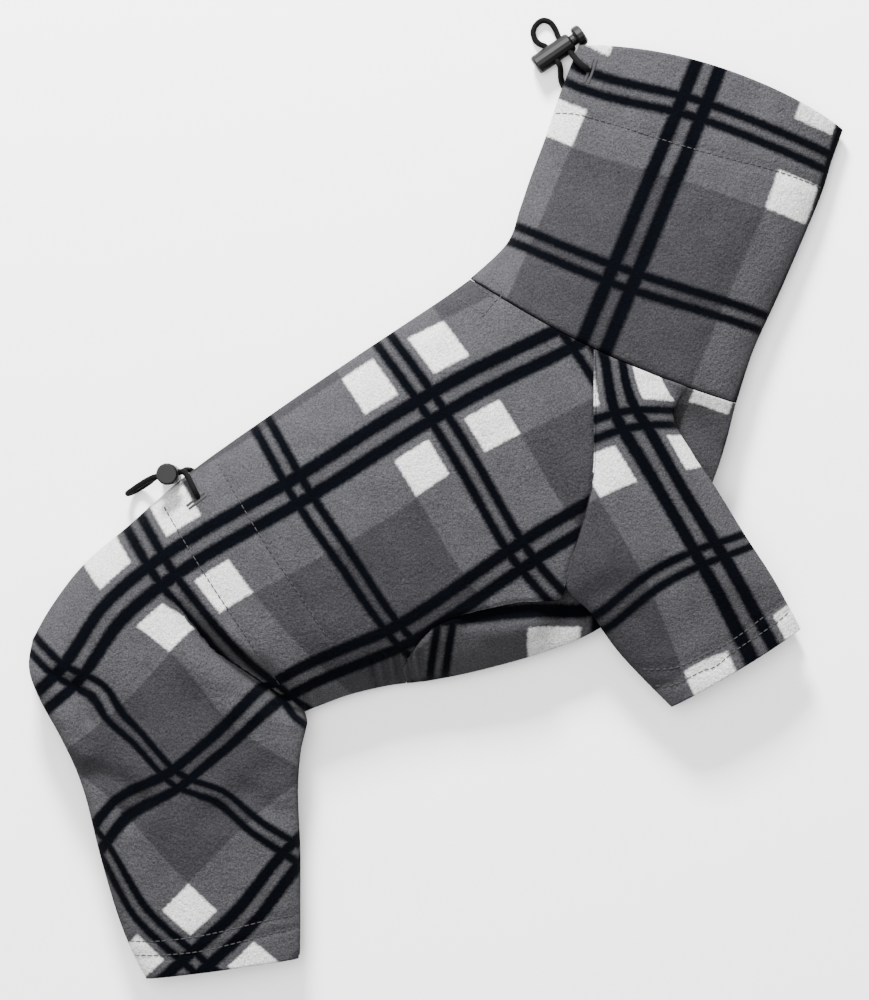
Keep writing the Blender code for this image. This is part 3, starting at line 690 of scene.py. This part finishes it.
def stitches(name, cloths, runs):
    """Threads sewn on the upper side of cloths. A run is places, ways and a stitch's length."""
    trees = [BVHTree.FromPolygons([v.co.copy() for v in cloth.data.vertices],
                                  [tuple(p.vertices) for p in cloth.data.polygons])
             for cloth in cloths]
    turns = [k * 2 * math.pi / THREAD_SIDES for k in range(THREAD_SIDES)]
    verts, faces = [], []
    for places, ways, length in runs:
        for place, way in zip(places, ways):
            rings = []
            for share, lift, wide in STITCH_RINGS:
                spot = (place + way * length * share) * MM
                above, down = Vector((*spot, 0.1)), Vector((0, 0, -1))
                hits = [tree.ray_cast(above, down)[0] for tree in trees]
                hits = [hit for hit in hits if hit]
                if not hits:
                    break
                middle = max(hits, key=lambda hit: hit.z) + Vector((0, 0, THREAD * lift))
                side = Vector((-way[1], way[0], 0)) * THREAD / 2 * wide
                up = Vector((0, 0, THREAD / 2 * wide))
                rings.append([middle + side * math.cos(a) + up * math.sin(a) for a in turns])
            if len(rings) < len(STITCH_RINGS):
                continue
            base = len(verts)
            for ring in rings:
                verts.extend(ring)
            last = base + THREAD_SIDES * (len(rings) - 1)
            for start in range(base, last, THREAD_SIDES):
                for k in range(THREAD_SIDES):
                    a, b = start + k, start + (k + 1) % THREAD_SIDES
                    faces.append((a, b, b + THREAD_SIDES, a + THREAD_SIDES))
            faces.append(tuple(base + k for k in reversed(range(THREAD_SIDES))))
            faces.append(tuple(last + k for k in range(THREAD_SIDES)))
    mesh = bpy.data.meshes.new(name)
    mesh.from_pydata(verts, [], faces)
    work = bmesh.new()
    work.from_mesh(mesh)
    bmesh.ops.recalc_face_normals(work, faces=work.faces)
    work.to_mesh(mesh)
    work.free()
    mesh.materials.append(thread)
    mesh.shade_smooth()
    piece = bpy.data.objects.new(name, mesh)
    bpy.context.scene.collection.objects.link(piece)
    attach(piece, "root")
    return piece


def seams(*lines):
    """Runs of straight stitches along lines."""
    return [(*dense(line, STITCH_PITCH), STITCH_LENGTH) for line in lines]


def buttonhole(start, end):
    """Close satin stitches across both lips of a slit."""
    places, ways = dense([start, end], SATIN_PITCH)
    across = np.column_stack((-ways[:, 1], ways[:, 0]))
    return [(places + across * SATIN_OFFSET, across, SATIN_LENGTH),
            (places - across * SATIN_OFFSET, across, SATIN_LENGTH)]


torso = table_rows(TORSO_TABLE)
leg = table_rows(LEG_TABLE)
seam_line = smooth_rows(RAGLAN_SEAM + SIDE_SEAM[1:], 4)
seam_start = seam_line[:1] + (seam_line[0] - seam_line[1]) * SEAM_RUN_ON
chest_side = np.vstack((seam_start, seam_line, [(-4.0, -112.3), (208.4, -175.3), (208.4, 139.7)]))


def seam_share(row):
    """The share of a torso row where it meets the raglan or side seam, or 1."""
    shares = np.linspace(-0.9, 1.0, 600)
    inside = within(across_row(row, shares), chest_side)
    return 1.0 if not inside.any() else max(shares[np.argmax(inside)] - SEAM_LAP, -0.85)


def columns(low, high, count=SHEET_COLUMNS):
    """Shares across a sheet, closer together towards its edges."""
    return low + (high - low) * (1 - np.cos(np.pi * np.arange(count + 1) / count)) / 2


SEAM_SINK = (0.8, 1.3, 0.0)
WAIST_GROOVE = (0.9, 1.6, 0.0)
HEM_GROOVE = (0.8, 1.4, 0.0)
WAIST_LINES = [
    [(-122.5, 2.0), (-103.9, -27.3), (-86.8, -52.9), (-69.7, -78.6)],
    [(-99.0, 22.7), (-78.5, -11.5), (-63.4, -34.0), (-48.6, -56.5)],
]
LEG_HEM = [
    [(-135.4, -198.7), (-124.6, -198.3), (-106.6, -196.5),
     (-88.6, -192.4), (-75.1, -188.8), (-62.5, -186.1)],
    [(-137.7, -192.4), (-124.6, -192.0), (-106.6, -189.7),
     (-88.6, -185.7), (-75.1, -182.5), (-62.5, -180.3)],
]
GATHERS = [
    # line, depth, half width, fade: a negative depth is a ridge, and a fade of 0 runs to the ends
    ([(-29.7, -63.7), (-27.0, -80.8)], 4.0, 1.5, 3.0),
    ([(-24.3, -62.4), (-21.6, -79.9)], 4.4, 1.5, 3.0),
    ([(-18.9, -61.5), (-16.2, -79.5)], 4.4, 1.5, 3.0),
    ([(-13.5, -61.0), (-10.8, -79.0)], 4.2, 1.5, 3.0),
    ([(-8.1, -61.0), (-5.4, -78.6)], 3.6, 1.5, 3.0),
    ([(-59.8, -79.9), (-56.7, -91.6)], 3.6, 1.5, 3.0),
    ([(-54.0, -79.0), (-50.8, -89.8)], 2.8, 1.5, 3.0),
    ([(-48.1, -77.7), (-45.4, -88.0)], 2.0, 1.5, 3.0),
]
BODY_CREASES = [
    ([(-112.9, -40.3), (-95.4, -54.7), (-72.9, -69.1)], -1.6, 6.0, 12.0),
    ([(-157.0, -114.1), (-140.4, -120.4), (-124.6, -135.7)], 2.4, 5.0, 10.0),
    ([(-88.6, -119.1), (-78.7, -130.3), (-61.6, -140.2)], 1.8, 5.0, 10.0),
    (WAIST_LINES[0], *WAIST_GROOVE),
    (WAIST_LINES[1], *WAIST_GROOVE),
    ([(-117.4, -36.7), (-108.4, -51.6), (-94.0, -64.6), (-78.7, -75.4), (-59.8, -88.0)],
     5.0, 5.5, 16.0),
    ([(-119.2, -58.3), (-104.4, -72.7), (-86.4, -87.1), (-68.4, -97.9)], -2.2, 9.0, 16.0),
    ([(-111.1, -47.5), (-101.2, -61.5), (-80.5, -74.5), (-61.6, -87.1)], 2.8, 2.4, 12.0),
    ([(-168.3, -85.3), (-164.2, -103.3), (-151.8, -114.6)], -1.8, 4.5, 8.0),
    ([(-175.0, -70.9), (-158.8, -80.8), (-153.4, -98.8)], 2.6, 3.2, 6.0),
    ([(-160.6, -108.7), (-146.2, -130.3), (-129.1, -142.0)], 2.2, 6.0, 10.0),
    ([(-63.4, -105.6), (-88.6, -125.8), (-106.6, -143.8)], 1.6, 7.0, 14.0),
    ([(-169.6, -72.7), (-147.1, -80.8), (-124.6, -103.3)], 1.5, 6.0, 12.0),
    ([(6.8, -42.6), (28.4, -35.8), (53.6, -27.7)], 1.2, 7.0, 14.0),
]
seam_creases = [(seam_line, *SEAM_SINK)]

HIP_FOLD = [(-117.4, -36.7), (-111.1, -47.5), (-101.2, -61.5), (-80.5, -74.5), (-59.8, -88.0)]
HIP_TUCK = (-0.15, 0.04)
HIP_TUCK_EASE = 28.0
HIP_TUCK_EDGE = 1.2
LEG_SIDE = HIP_FOLD + [(-52.6, -130.3), (-169.6, -130.3), (-169.6, -40.3)]
smooth_print = spread(BODY_CROSSINGS)


def folded_print(points):
    """The body's print: the cloth tucked into the hip's fold hides a strip of it."""
    away, along, whole = off_line(points, HIP_FOLD)
    amount = np.sin(np.pi * np.clip(along / whole, 0, 1)) * np.exp(-away / HIP_TUCK_EASE)
    amount = amount * within(points, np.array(LEG_SIDE)) * np.clip(away / HIP_TUCK_EDGE, 0, 1)
    return smooth_print(points) + np.outer(amount, HIP_TUCK)


body_cloth = Cloth("body_cloth", folded_print)
ends = [seam_share(row) for row in torso]
shares = [columns(-1.0, end) for end in ends]
plan = np.array([across_row(row, share) for row, share in zip(torso, shares)])
upper = np.array([upper_height(share, *row[5:8]) for row, share in zip(torso, shares)])
upper = softened(plan, upper, depth=1.1, seed=3.1)
upper = creased(plan, upper, BODY_CREASES + GATHERS + seam_creases)
fold = np.array([under_height(share, *row[6:8]) for row, share in zip(torso, shares)])
weld = np.zeros_like(upper, bool)
weld[:, 0] = True
weld[:, -1] = np.array(ends) > CLOSED
edge = np.array([fold_level(share, *row[6:8]) for row, share in zip(torso, shares)])
upper[weld] = edge[weld]
body_cloth.sheet(plan, upper, True)
body_cloth.sheet(plan, fold, False)

leg_shares = columns(-1.0, 1.0)
leg_plan = np.array([across_row(row, leg_shares) for row in leg])
apart = ease(np.clip(np.arange(len(leg)) / LEG_BLEND_ROWS, 0, 1))[:, None]
height = leg[:, 5:6]
start_edge = edge[-1][None, :]
over_edge = start_edge * (1 - apart) + (height + LEG_GAP + LEG_FOLD * height) * apart
low_edge = start_edge * (1 - apart) + LEG_FOLD * height * apart
tops = TORSO_TABLE[-1][5] * (1 - apart) + (2 * height + LEG_GAP) * apart
rise = round_over(leg_shares)[None, :]
leg_top = over_edge + (tops - over_edge) * rise ** TOP_POWER
leg_top = creased(leg_plan, softened(leg_plan, leg_top, depth=1.1, seed=3.1),
                  BODY_CREASES + [(line, *HEM_GROOVE) for line in LEG_HEM])
leg_top[:, 0], leg_top[:, -1] = over_edge[:, 0], over_edge[:, -1]
leg_top[0] = upper[-1]
over_under = over_edge - (over_edge - (height + LEG_GAP) * apart
                          - start_edge * (1 - apart)) * rise ** UNDER_POWER
low_top = low_edge + (height * apart + start_edge * (1 - apart) - low_edge) * rise ** LOW_LEG_POWER
low_under = low_edge - low_edge * np.minimum(rise ** UNDER_POWER * FLAT_REST, 1)
low_under[0] = fold[-1]
over_under[0] = low_top[0] = start_edge[0]
body_cloth.sheet(leg_plan, leg_top, True)
body_cloth.sheet(leg_plan, over_under, False)
body_cloth.sheet(leg_plan, low_top, True)
body_cloth.sheet(leg_plan, low_under, False)
body = body_cloth.sew(plaid)
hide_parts("body")
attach(body, "root")
NAPE_PATCH = [
    [(21.9, 107.3), (28.7, 99.8)],
    [(16.2, 102.0), (25.1, 95.0)],
    [(8.9, 95.4), (21.1, 87.5)],
    [(28.6, 99.8), (28.6, 95.6), (25.7, 93.2), (21.1, 87.5), (18.7, 85.3)],
]
WAIST_BUTTONHOLE = ((-111.3, 1.3), (-103.5, 7.4))
body_thread = stitches("body_stitches", [body], seams(*WAIST_LINES, *NAPE_PATCH[1:3], *LEG_HEM)
                       + buttonhole(*WAIST_BUTTONHOLE))


# The chest panel: the same fleece, its colour darkened all over as painted shade for the shade it
# lies in, sunk between the sleeves and under the side seams. It is sewn in below the side seams
# from the throat to the belly, with the armholes cut out of it. It is thin where the sleeves lie
# above and beneath.
CHEST_LOW = 11.0
CHEST_HIGH = 19.6
CHEST_STEP = 12.0
CHEST_FADE = 20.0
CHEST_COLUMNS = 56
CHEST_LAP = 0.004
ARMHOLE_BULGE = 24.0
ARMHOLE_FRONT = [
    # x, y
    (108.8, 54.9),
    (98.9, 35.0),
    (86.9, 9.6),
    (74.0, -14.7),
    (60.7, -32.5),
]
CHEST_CROSSINGS = [
    # x, y, repeats_along, repeats_across
    (4.5, -42.6, 1, 0),
    (0.0, -76.3, 1, 0.42),
    (73.4, -35.8, 2, 0),
    (76.1, -62.8, 2, 0.33),
    (49.5, -55.6, 1.745, 0.2),
    (123.8, 50.6, 3.745, 0.31),
    (114.8, 54.2, 3.62, 0.31),
    (133.2, 47.4, 3.88, 0.31),
    (113.4, 24.5, 3.745, 0.66),
]
BELLY_CREASES = [
    ([(6.3, -50.2), (28.4, -45.7), (57.6, -43.0)], 2.6, 4.0, 10.0),
    ([(14.9, -58.3), (37.4, -52.9), (59.9, -50.2)], -1.2, 4.5, 12.0),
    ([(0.5, -56.5), (-1.3, -74.5)], 1.0, 3.0, 6.0),
    ([(58.1, -41.2), (61.2, -49.3), (68.0, -56.5)], 3.4, 2.2, 4.0),
    ([(68.0, -42.1), (70.7, -50.2)], -1.6, 4.0, 4.0),
]
shoulder, armpit = np.array(RAGLAN_SEAM[0]), np.array(RAGLAN_SEAM[-1])


def chest_squeeze(plan, height, goal):
    """Brings a sheet's height to its goal in front of the raglan seam, but not at the collar."""
    points = plan.reshape(-1, 2)
    down = armpit - shoulder
    front = np.array((-down[1], down[0])) / np.hypot(*down)
    share = (points - shoulder) @ down / (down @ down)
    bulge = np.where((share > 0) & (share < 1), ARMHOLE_BULGE * share * (1 - share), 0.0)
    lead = CHEST_STEP * ease(np.clip(share, 0, 1))
    amount = np.clip(((points - shoulder) @ front - bulge + lead) / CHEST_STEP, 0, 1)
    from_collar_line = off_line(points, [TORSO_TABLE[0][0:2], TORSO_TABLE[0][2:4]])[0]
    fade = np.clip(from_collar_line / CHEST_FADE, 0, 1)
    amount = (ease(amount) * ease(fade)).reshape(height.shape)
    return height * (1 - amount) + goal * amount


def cell_middles(plan):
    """The middle of each face of a sheet, in the order of its faces."""
    return (plan[1:, :-1] + plan[:-1, :-1] + plan[1:, 1:] + plan[:-1, 1:]).reshape(-1, 2) / 4


raglan_line = smooth_rows(RAGLAN_SEAM, 4)
armhole = np.vstack((seam_start, raglan_line, smooth_rows(ARMHOLE_FRONT, 4)[::-1]))
rows = [row for row, end in zip(torso, ends) if end < CLOSED]
shares = [columns(end + CHEST_LAP, 1.0, CHEST_COLUMNS) for end in ends if end < CLOSED]
plan = np.array([across_row(row, share) for row, share in zip(rows, shares)])
upper = np.array([upper_height(share, *row[5:8]) for row, share in zip(rows, shares)])
under = np.array([under_height(share, *row[6:8]) for row, share in zip(rows, shares)])
edge = np.array([fold_level(share, *row[6:8]) for row, share in zip(rows, shares)])
rise = np.array([round_over(share) for share in shares])
middle = (CHEST_LOW + CHEST_HIGH) / 2
upper = softened(plan, upper, depth=0.6, seed=3.1)
upper = creased(plan, upper, seam_creases + BELLY_CREASES + GATHERS)
upper[:, -1] = edge[:, -1]
upper = chest_squeeze(plan, upper, middle + (CHEST_HIGH - middle) * rise ** TOP_POWER)
under = chest_squeeze(plan, under, middle - (middle - CHEST_LOW) * rise ** UNDER_POWER)
keep = ~within(cell_middles(plan), armhole)
chest_cloth = Cloth("chest_panel_cloth", spread(CHEST_CROSSINGS))
chest_cloth.sheet(plan, upper, True, keep)
chest_cloth.sheet(plan, under, False, keep)
chest = chest_cloth.sew(plaid_painted_shade)
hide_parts("chest_panel")
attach(chest, "root")


# The front sleeves: raglan sleeves that run up to the neck, hemmed at the cuff. One lies on the
# chest panel and one beneath it, turned over.
SLEEVE_TABLE = [
    # back_x, back_y, front_x, front_y, bow, under, height, back_fold, front_fold
    (70.4, 76.6, 114.3, 58.4, 0.0, 20.1, 7.6, 0.90, 0.40),
    (70.5, 43.8, 105.3, 42.9, 0.0, 20.1, 9.4, 0.92, 0.40),
    (69.7, 15.9, 113.9, 25.4, 0.0, 20.1, 10.2, 0.90, 0.40),
    (64.0, -7.5, 123.7, 11.0, 0.0, 20.1, 10.5, 0.76, 0.38),
    (57.3, -32.3, 136.9, -10.3, 0.0, 20.1, 10.5, 0.50, 0.36),
    (69.0, -46.2, 148.8, -28.2, 0.0, 17.8, 10.5, 0.36, 0.36),
    (83.2, -65.5, 156.2, -40.7, 0.0, 13.9, 10.7, 0.36, 0.36),
    (105.0, -88.0, 162.9, -53.0, -1.0, 11.6, 10.9, 0.36, 0.36),
]
SLEEVE_CROSSINGS = [
    # x, y, repeats_along, repeats_across
    (85.5, 40.7, 0, 0),
    (120.6, -19.2, 1, 0),
    (153.5, -83.1, 2, 0),
    (70.7, 36.2, 0, -0.2),
    (100.4, 41.6, 0, 0.19),
    (75.6, -48.4, 1, -0.68),
    (95.9, -31.3, 1, -0.36),
    (138.6, -13.3, 1, 0.24),
    (78.8, 67.7, -0.4, 0),
    (145.4, -62.8, 1.7, 0),
    (94.1, 56.9, -0.25, 0.26),
    (108.5, 55.1, -0.25, 0.52),
    (122.0, -75.4, 1.75, -0.27),
    (156.6, -52.0, 1.75, 0.2),
]
SLEEVE_COLUMNS = 56
SLEEVE_CREASES = [
    (raglan_line, *SEAM_SINK),
    ([(93.2, 62.3), (104.0, 55.1), (111.2, 47.9)], 1.8, 3.2, 6.0),
    ([(98.1, 50.6), (113.9, 38.4)], 1.0, 3.0, 6.0),
    ([(59.9, -40.3), (82.4, -33.6), (113.9, -22.3)], 1.5, 6.0, 12.0),
    ([(73.4, -22.3), (91.4, -58.3)], 0.9, 7.0, 12.0),
    ([(145.4, -40.3), (127.4, -49.3), (109.4, -62.8)], -0.6, 8.0, 12.0),
]
CUFF_HEM = [
    [(91.4, -78.1), (96.8, -78.3), (105.3, -77.9), (117.9, -71.8),
     (124.6, -69.3), (132.8, -62.7), (150.1, -51.1), (158.0, -44.8)],
    [(91.4, -70.9), (106.5, -70.0), (120.9, -63.3),
     (132.3, -57.4), (149.4, -44.6), (154.4, -40.8)],
]
sleeve_print = spread(SLEEVE_CROSSINGS)


def from_collar(plan, *heights):
    """Starts each column of a sheet where it comes out from under the collar's seam."""
    rows, columns_across = plan.shape[:2]
    hidden = within(plan.reshape(-1, 2), NECK_SIDE).reshape(rows, columns_across)
    out = [plan.copy()] + [height.copy() for height in heights]
    for k in range(columns_across):
        count = int(hidden[:, k].sum()) if hidden[0, k] else 0
        if count == 0:
            continue
        steps = np.linspace(count - 1, count, 41)
        between = np.column_stack([np.interp(steps, np.arange(rows), plan[:, k, axis])
                                   for axis in (0, 1)])
        first = steps[np.argmin(within(between, NECK_SIDE))]
        at = np.linspace(first, rows - 1, rows)
        for axis in (0, 1):
            out[0][:, k, axis] = np.interp(at, np.arange(rows), plan[:, k, axis])
        for height, target in zip(heights, out[1:]):
            target[:, k] = np.interp(at, np.arange(rows), height[:, k])
    return out


def sleeve(name, node, upper_one):
    """One sleeve. The lower one is the upper one turned over on the floor."""
    rows = table_rows(SLEEVE_TABLE)
    share = columns(-1.0, 1.0, SLEEVE_COLUMNS)
    plan = np.array([across_row(row, share) for row in rows])
    under, tall, first, second = (rows[:, k:k + 1] for k in (5, 6, 7, 8))
    if not upper_one:
        under, first, second = under * 0, 1 - first, 1 - second
    level = under + tall * fold_level(share, first, second)
    rise = round_over(share)[None, :]
    top = level + (under + tall - level) * rise ** TOP_POWER
    low = level - (level - under) * np.minimum(rise ** UNDER_POWER * FLAT_REST, 1)
    if upper_one:
        top = creased(plan, softened(plan, top, depth=0.8, seed=5.7),
                      SLEEVE_CREASES + [(line, *HEM_GROOVE) for line in CUFF_HEM])
        top[:, 0], top[:, -1] = level[:, 0], level[:, -1]
    plan, top, low = from_collar(plan, top, low)
    hole = within(cell_middles(plan), armhole)
    cloth = Cloth(name, sleeve_print)
    cloth.sheet(plan, top, True, ~(hole & (not upper_one)))
    cloth.sheet(plan, low, False, ~(hole & upper_one))
    piece = cloth.sew(plaid)
    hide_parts(node)
    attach(piece, "root")
    threads = [stitches("sleeve_stitches", [piece], seams(*CUFF_HEM))] if upper_one else []


COLLAR_LINE = across_row(torso[0], np.linspace(-1, 1, 41))
NECK_SIDE = np.vstack((COLLAR_LINE, [(217.4, 58.7), (208.4, 229.7),
                                     (-61.6, 229.7), (-25.6, 103.7)]))
sleeve("sleeve_right_cloth", "sleeve_right", True)
sleeve("sleeve_left_cloth", "sleeve_left", False)


# The neck: one high tube of the same fleece, sewn on at the collar and hemmed at the top, with the
# drawcord in its hem.
NECK_TABLE = [
    # nape_x, nape_y, throat_x, throat_y, bow, top, nape_fold, throat_fold
    (15.1, 104.5, 134.4, 48.4, -5.7, 27.6, 6.6, 11.6),
    (31.5, 120.2, 142.2, 72.1, 0.0, 26.4, 7.4, 10.6),
    (37.4, 135.9, 153.4, 96.4, 0.0, 24.2, 7.3, 8.7),
    (42.3, 150.4, 164.8, 122.5, 0.0, 22.4, 7.2, 7.6),
    (48.9, 168.1, 173.2, 142.8, 0.0, 21.1, 7.2, 7.2),
    (55.6, 188.1, 178.0, 158.0, 3.0, 19.4, 7.0, 6.6),
    (63.9, 209.4, 182.9, 171.4, 8.5, 17.6, 6.3, 6.0),
]
NECK_CROSSINGS = [
    # x, y, repeats_along, repeats_across
    (113.9, 180.2, 1, 0),
    (176.0, 156.3, 1.9, 0),
    (49.3, 206.6, 0, 0),
    (82.4, 103.7, 1, 1),
    (59.9, 195.9, 0.194, 0),
    (171.5, 137.4, 1.9, 0.25),
    (35.1, 123.9, 0.263, 1),
    (148.1, 83.4, 1.9, 1),
    (135.5, 51.5, 1.9, 1.45),
    (68.9, 71.3, 1, 1.42),
    (98.6, 143.3, 1, 0.48),
]
NECK_HEM = [
    (52.9, 178.6),
    (63.9, 177.2),
    (80.8, 172.2),
    (97.6, 166.7),
    (112.1, 162.2),
    (131.0, 157.1),
    (151.1, 152.1),
    (175.1, 144.2),
]
NECK_BUTTONHOLE = ((71.0, 202.5), (67.1, 191.9))
NECK_CREASES = [
    (COLLAR_LINE, *SEAM_SINK),
    (NECK_HEM, 0.7, 1.5, 0.0),
    ([(55.4, 175.7), (73.4, 148.7), (91.4, 130.7)], 0.7, 12.0, 20.0),
    ([(163.4, 139.7), (140.9, 112.7), (118.4, 81.2)], 0.6, 10.0, 20.0),
]
rows = table_rows(NECK_TABLE)
share = columns(-1.0, 1.0)
plan = np.array([across_row(row, share) for row in rows])
upper = np.array([upper_height(share, *row[5:8]) for row in rows])
upper = creased(plan, softened(plan, upper, depth=1.1, seed=8.3), NECK_CREASES)
edge = fold_level(share, rows[:, 6:7], rows[:, 7:8])
upper[:, 0], upper[:, -1] = edge[:, 0], edge[:, -1]
under = np.array([under_height(share, *row[6:8]) for row in rows])
neck_cloth = Cloth("neck_cloth", spread(NECK_CROSSINGS))
neck_cloth.sheet(plan, upper, True)
neck_cloth.sheet(plan, under, False)
neck = neck_cloth.sew(plaid_turned)
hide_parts("neck")
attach(neck, "root")
neck_thread = stitches("neck_stitches", [neck, body], seams(NECK_HEM, NAPE_PATCH[0], NAPE_PATCH[3])
                       + buttonhole(*NECK_BUTTONHOLE))
